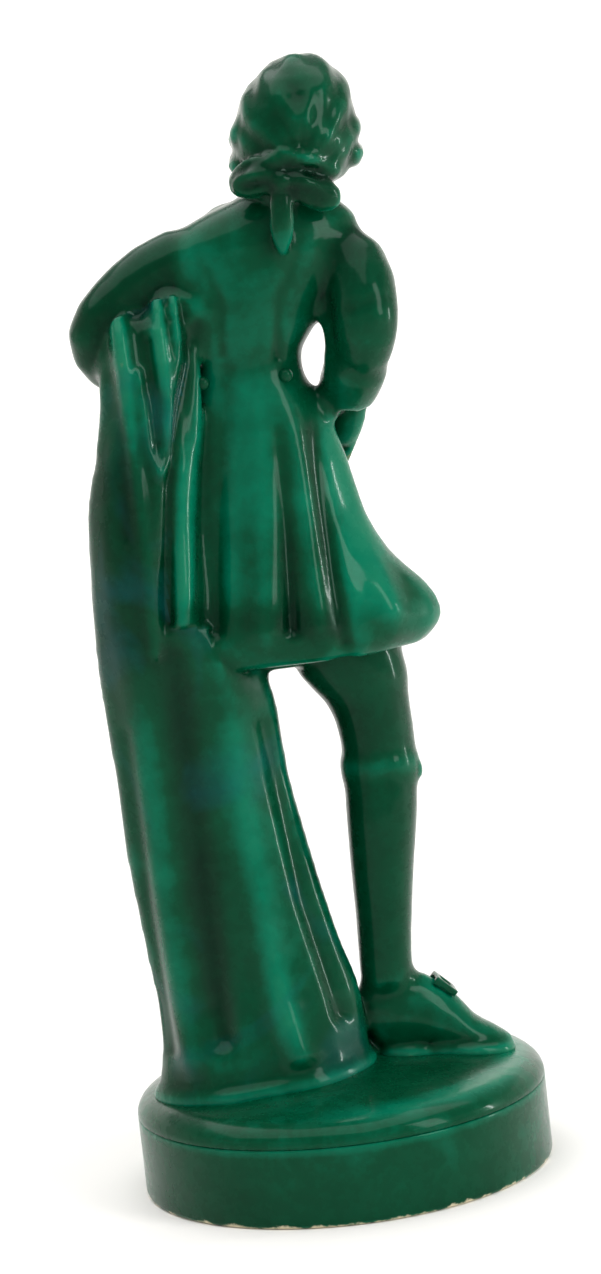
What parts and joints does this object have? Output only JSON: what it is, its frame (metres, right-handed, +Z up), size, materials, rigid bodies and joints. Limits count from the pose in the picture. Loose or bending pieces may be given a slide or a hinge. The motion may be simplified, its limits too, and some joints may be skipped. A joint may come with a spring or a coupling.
{
  "type": "figural powder jar",
  "caption": "Glazed ceramic powder jar: a low round bowl, and a lift-off lid that carries the standing figure of an eighteenth-century gentleman with a draped cloak.",
  "frame": {"origin": "centre of the plinth's foot, on the plane that it stands on", "axes": "+Z up; the figure faces -Y, so its back, which the picture shows, faces +Y; +X is the figure's left"},
  "size_m": [0.088, 0.088, 0.238],
  "materials": {
    "green_glaze": "glossy copper-green lead glaze, pooled dark in the folds and thin and pale on the edges",
    "bare_foot": "the same glaze outside, wiped off the foot ring to a cream biscuit body"
  },
  "bodies": {
    "jar": {"powder_bowl": "bare_foot"},
    "lid": {"lid_plinth": "green_glaze", "cloak": "green_glaze", "cloak_gather": "green_glaze", "coat_body": "green_glaze", "coat_skirt_back": "green_glaze", "coat_skirt_right": "green_glaze", "coat_skirt_left": "green_glaze", "coat_collar": "green_glaze", "waistcoat": "green_glaze", "cravat": "green_glaze", "jabot": "green_glaze", "head": "green_glaze", "wig": "green_glaze", "side_curls": "green_glaze", "hair_bow": "green_glaze", "queue": "green_glaze", "right_sleeve": "green_glaze", "right_cuff": "green_glaze", "right_hand": "green_glaze", "left_sleeve": "green_glaze", "left_cuff": "green_glaze", "left_hand": "green_glaze", "breeches": "green_glaze", "right_stocking": "green_glaze", "left_stocking": "green_glaze", "right_knee_band": "green_glaze", "left_knee_band": "green_glaze", "right_shoe": "green_glaze", "left_shoe": "green_glaze", "shoe_buckles": "green_glaze", "waistcoat_buttons": "green_glaze", "coat_buttons": "green_glaze"}
  },
  "joints": [
    {"name": "lid_lift", "type": "slide", "parent": "jar", "child": "lid", "axis": [0, 0, 1], "range_m": [0, 0.06]}
  ]
}
